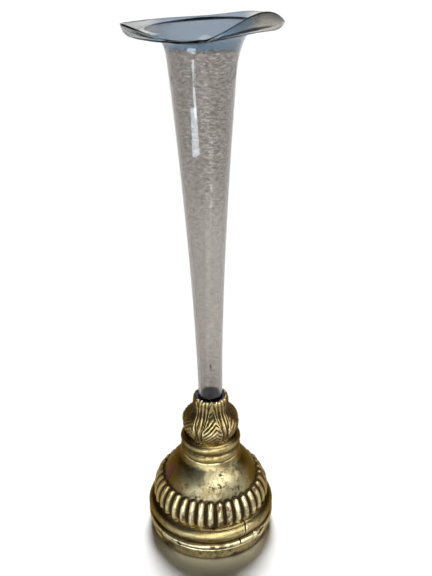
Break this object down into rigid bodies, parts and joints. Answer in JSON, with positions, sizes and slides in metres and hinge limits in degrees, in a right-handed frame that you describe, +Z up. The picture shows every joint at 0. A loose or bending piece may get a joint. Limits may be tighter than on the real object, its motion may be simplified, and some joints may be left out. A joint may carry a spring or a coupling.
{
  "type": "glass trumpet vase on a turned base",
  "caption": "Tall slender blown-glass trumpet vase with a wide wavy lip, standing loose in the leaf-carved socket of a turned and gadrooned giltwood base.",
  "frame": {"origin": "on the axis of the turned base, in the plane that the base stands on", "axes": "+Z up along the base's axis, the pictured front faces -Y, +X to the viewer's right"},
  "size_m": [0.1275, 0.1224, 0.4937],
  "materials": {
    "gilt_wood": "worn gold leaf over reddish bole on turned and carved wood",
    "bare_wood": "plain turned beech",
    "blue_felt": "dark blue felt",
    "green_felt": "dark green baize",
    "blown_glass": "clear blown glass with a smoky tint and a fire-polished rim"
  },
  "bodies": {
    "base": {"base_felt": "green_felt", "plinth": "gilt_wood", "gadrooned_dome": "gilt_wood", "neck_ring": "gilt_wood", "leaf_socket": "gilt_wood", "socket_sleeve": "blue_felt", "centre_dowel": "bare_wood"},
    "pad": {"seat_pad": "blue_felt"},
    "glass": {"glass_flute": "blown_glass"}
  },
  "joints": [
    {"name": "glass_turn", "type": "hinge", "parent": "base", "child": "pad", "pos_m": [0, 0, 0.106], "axis": [0, 0, 1], "continuous": true},
    {"name": "glass_lift", "type": "slide", "parent": "pad", "child": "glass", "axis": [0, 0, 1], "range_m": [0, 0.06]}
  ]
}
